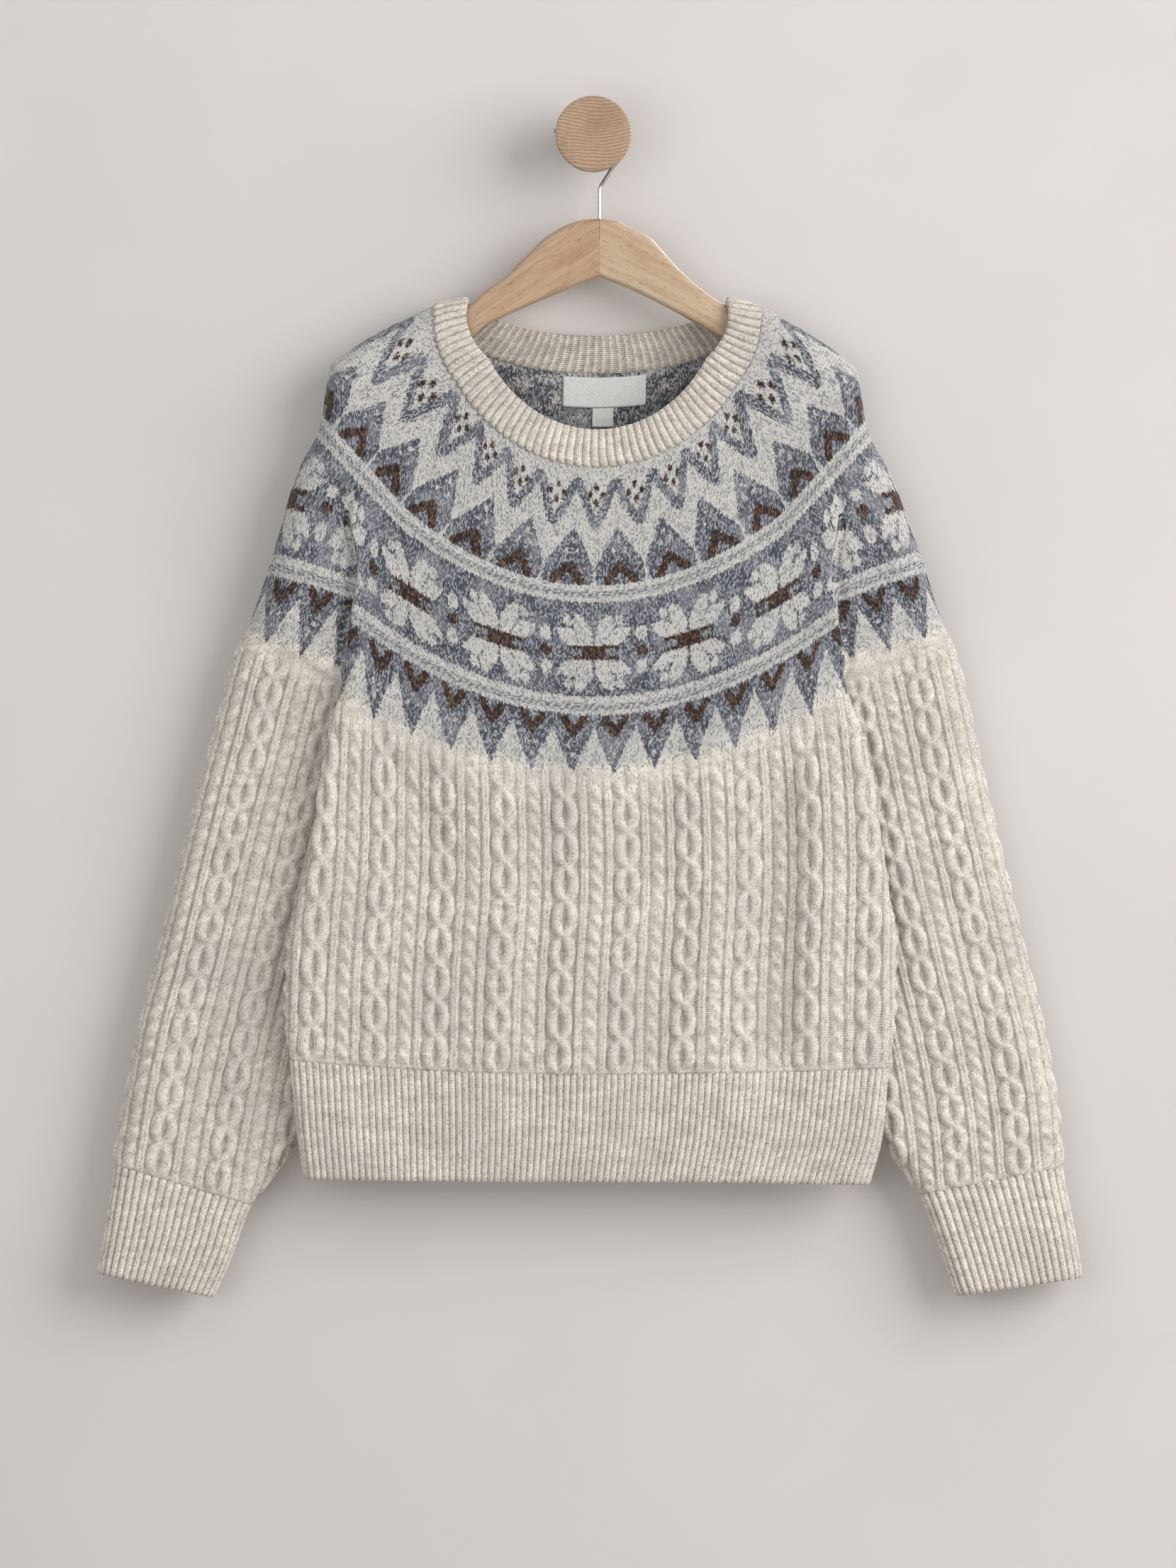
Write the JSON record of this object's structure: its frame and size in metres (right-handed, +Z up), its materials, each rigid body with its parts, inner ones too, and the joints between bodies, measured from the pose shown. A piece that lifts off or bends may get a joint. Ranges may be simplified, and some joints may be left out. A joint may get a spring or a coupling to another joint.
{
  "type": "knitted sweater on a wooden hanger on a wall knob",
  "caption": "Round-yoke knitted sweater with cabled body and sleeves and ribbed neck, hem and cuffs, hung flat on a wooden hanger that hooks over a round wooden wall knob.",
  "frame": {"origin": "centre of the wall knob's back face, where it meets the wall", "axes": "+X to the viewer's right, +Y into the wall, +Z up"},
  "size_m": [0.7546, 0.0633, 0.9193],
  "materials": {
    "cream_wool": "brushed rib knit",
    "patterned_wool": "brushed knit",
    "label_satin": "woven satin",
    "beech": "satin",
    "knob_beech": "satin",
    "polished_steel": "polished"
  },
  "bodies": {
    "root": {"front_panel": "patterned_wool", "back_panel": "patterned_wool", "sleeve_left": "patterned_wool", "sleeve_right": "patterned_wool", "neckband": "cream_wool", "hem_rib": "cream_wool", "cuff_left": "cream_wool", "cuff_right": "cream_wool", "neck_label": "label_satin", "size_label": "label_satin", "hanger_arm_left": "beech", "hanger_arm_right": "beech", "hanger_hook": "polished_steel", "wall_knob": "knob_beech"}
  },
  "joints": []
}
